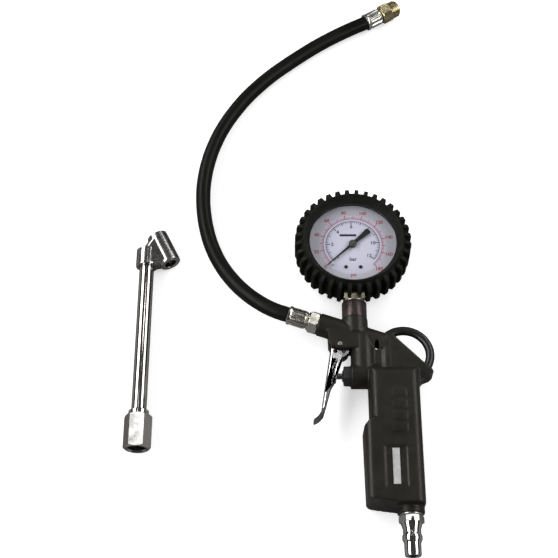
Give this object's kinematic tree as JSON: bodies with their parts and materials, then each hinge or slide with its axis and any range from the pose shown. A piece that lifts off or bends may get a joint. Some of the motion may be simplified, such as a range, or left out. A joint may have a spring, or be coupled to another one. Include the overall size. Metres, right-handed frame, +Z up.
{
  "type": "tyre inflator with gauge",
  "caption": "Hand-held air-line tyre inflator: trigger valve gun with a dial pressure gauge in a rubber boot, a short air hose, and a loose dual-foot chuck wand.",
  "frame": {"origin": "centre of the underside of the box round everything but the hose and its free end, on the surface the part lies on", "axes": "+Z up from the surface towards the dial's face; +Y from the air inlet towards the gauge; +X from the loose wand towards the gun"},
  "size_m": [0.2048, 0.4388, 0.0311],
  "materials": {
    "body_black": "semi-gloss black paint on die-cast metal",
    "badge_white": "plain white plastic",
    "loop_black": "smooth black plastic cord",
    "boot_rubber": "matt black moulded rubber",
    "hose_rubber": "smooth black rubber",
    "chrome": "bright chrome plate",
    "zinc_silver": "zinc plate, turned",
    "zinc_yellow": "yellow zinc plate",
    "bronze": "dark bronze coat",
    "brass": "machined brass",
    "steel": "plain steel",
    "spring_steel": "spring wire",
    "seal_rubber": "nitrile rubber",
    "dial_white": "white printed sheet",
    "pointer_black": "matt black sheet",
    "case_black": "black pressed steel",
    "lens_clear": "clear lens"
  },
  "bodies": {
    "gun": {"gun_body": "body_black", "grip_badge": "badge_white", "hanging_loop": "loop_black", "inlet_plug": "chrome", "inlet_seal": "zinc_silver", "trigger_pin": "steel", "valve_gland": "case_black", "gland_washer": "seal_rubber", "stem_seals": "seal_rubber", "valve_seat": "brass", "valve_spring": "spring_steel", "gauge_riser": "bronze", "riser_washer": "steel", "gauge_socket": "brass", "gauge_case": "case_black", "gauge_boot": "boot_rubber", "bezel_ring": "case_black", "gauge_lens": "lens_clear", "lens_gasket": "seal_rubber", "gauge_dial": "dial_white", "dial_screws": "steel", "hairspring": "spring_steel", "hairspring_stud": "brass", "bourdon_tube": "brass", "back_plate": "brass", "front_plate": "brass", "movement_pillars": "brass", "movement_screws": "steel", "hose": "hose_rubber", "hose_gun_fitting": "zinc_silver", "hose_gun_ferrule": "zinc_silver", "hose_end_fitting": "zinc_yellow", "hose_end_ferrule": "zinc_silver"},
    "trigger_lever": {"trigger": "chrome"},
    "valve_stem_set": {"valve_stem": "steel", "valve_poppet": "brass", "poppet_seal": "seal_rubber"},
    "sector": {"sector_gear": "brass"},
    "pointer_arbor": {"pointer": "pointer_black", "pinion": "brass"},
    "link": {"movement_link": "brass", "bourdon_tip": "brass"},
    "wand": {"wand_tube": "chrome", "wand_nut": "chrome", "wand_washer": "seal_rubber", "chuck_head": "chrome", "lower_mouth_ring": "chrome", "lower_chuck_seal": "seal_rubber", "upper_mouth_ring": "chrome", "upper_chuck_seal": "seal_rubber", "chuck_spring": "spring_steel"},
    "lower_pin": {"lower_chuck_pin": "brass"},
    "upper_pin": {"upper_chuck_pin": "brass"}
  },
  "joints": [
    {"name": "trigger_pivot", "type": "hinge", "parent": "gun", "child": "trigger_lever", "pos_m": [0.0392, 0.0122, 0.014], "axis": [0, 0, 1], "range_deg": [0, 9], "stiffness_Nm_per_rad": 0.42, "springref_deg": -10.6},
    {"name": "stem_slide", "type": "slide", "parent": "gun", "child": "valve_stem_set", "axis": [1, 0, 0], "range_m": [0, 0.0034], "deforming": ["valve_spring"]},
    {"name": "sector_turn", "type": "hinge", "parent": "gun", "child": "sector", "pos_m": [0.04518, 0.07521, 0.0096], "axis": [0, 0, 1], "range_deg": [0, 33.75]},
    {"name": "pointer_turn", "type": "hinge", "parent": "gun", "child": "pointer_arbor", "pos_m": [0.0498, 0.0879, 0.012], "axis": [0, 0, 1], "range_deg": [-270.5, 0], "deforming": ["hairspring"]},
    {"name": "link_slide", "type": "slide", "parent": "gun", "child": "link", "axis": [0.9239, 0.3827, 0], "range_m": [0, 0.00348], "deforming": ["bourdon_tube"]},
    {"name": "wand_lift", "type": "slide", "parent": "gun", "child": "wand", "axis": [0, 0, 1], "range_m": [0, 0.06]},
    {"name": "lower_pin_slide", "type": "slide", "parent": "wand", "child": "lower_pin", "axis": [-0.4384, 0.8988, 0], "range_m": [0, 0.002], "stiffness_N_per_m": 800, "springref_m": -0.002, "deforming": ["chuck_spring"]},
    {"name": "upper_pin_slide", "type": "slide", "parent": "wand", "child": "upper_pin", "axis": [0.4384, -0.8988, 0], "range_m": [0, 0.002], "stiffness_N_per_m": 800, "springref_m": -0.002}
  ],
  "couplings": [
    {"joint": "stem_slide", "follows": "trigger_pivot", "m_per_rad": 0.0216},
    {"joint": "sector_turn", "follows": "link_slide", "rad_per_m": 169.2},
    {"joint": "pointer_turn", "follows": "link_slide", "rad_per_m": -1353.6}
  ]
}
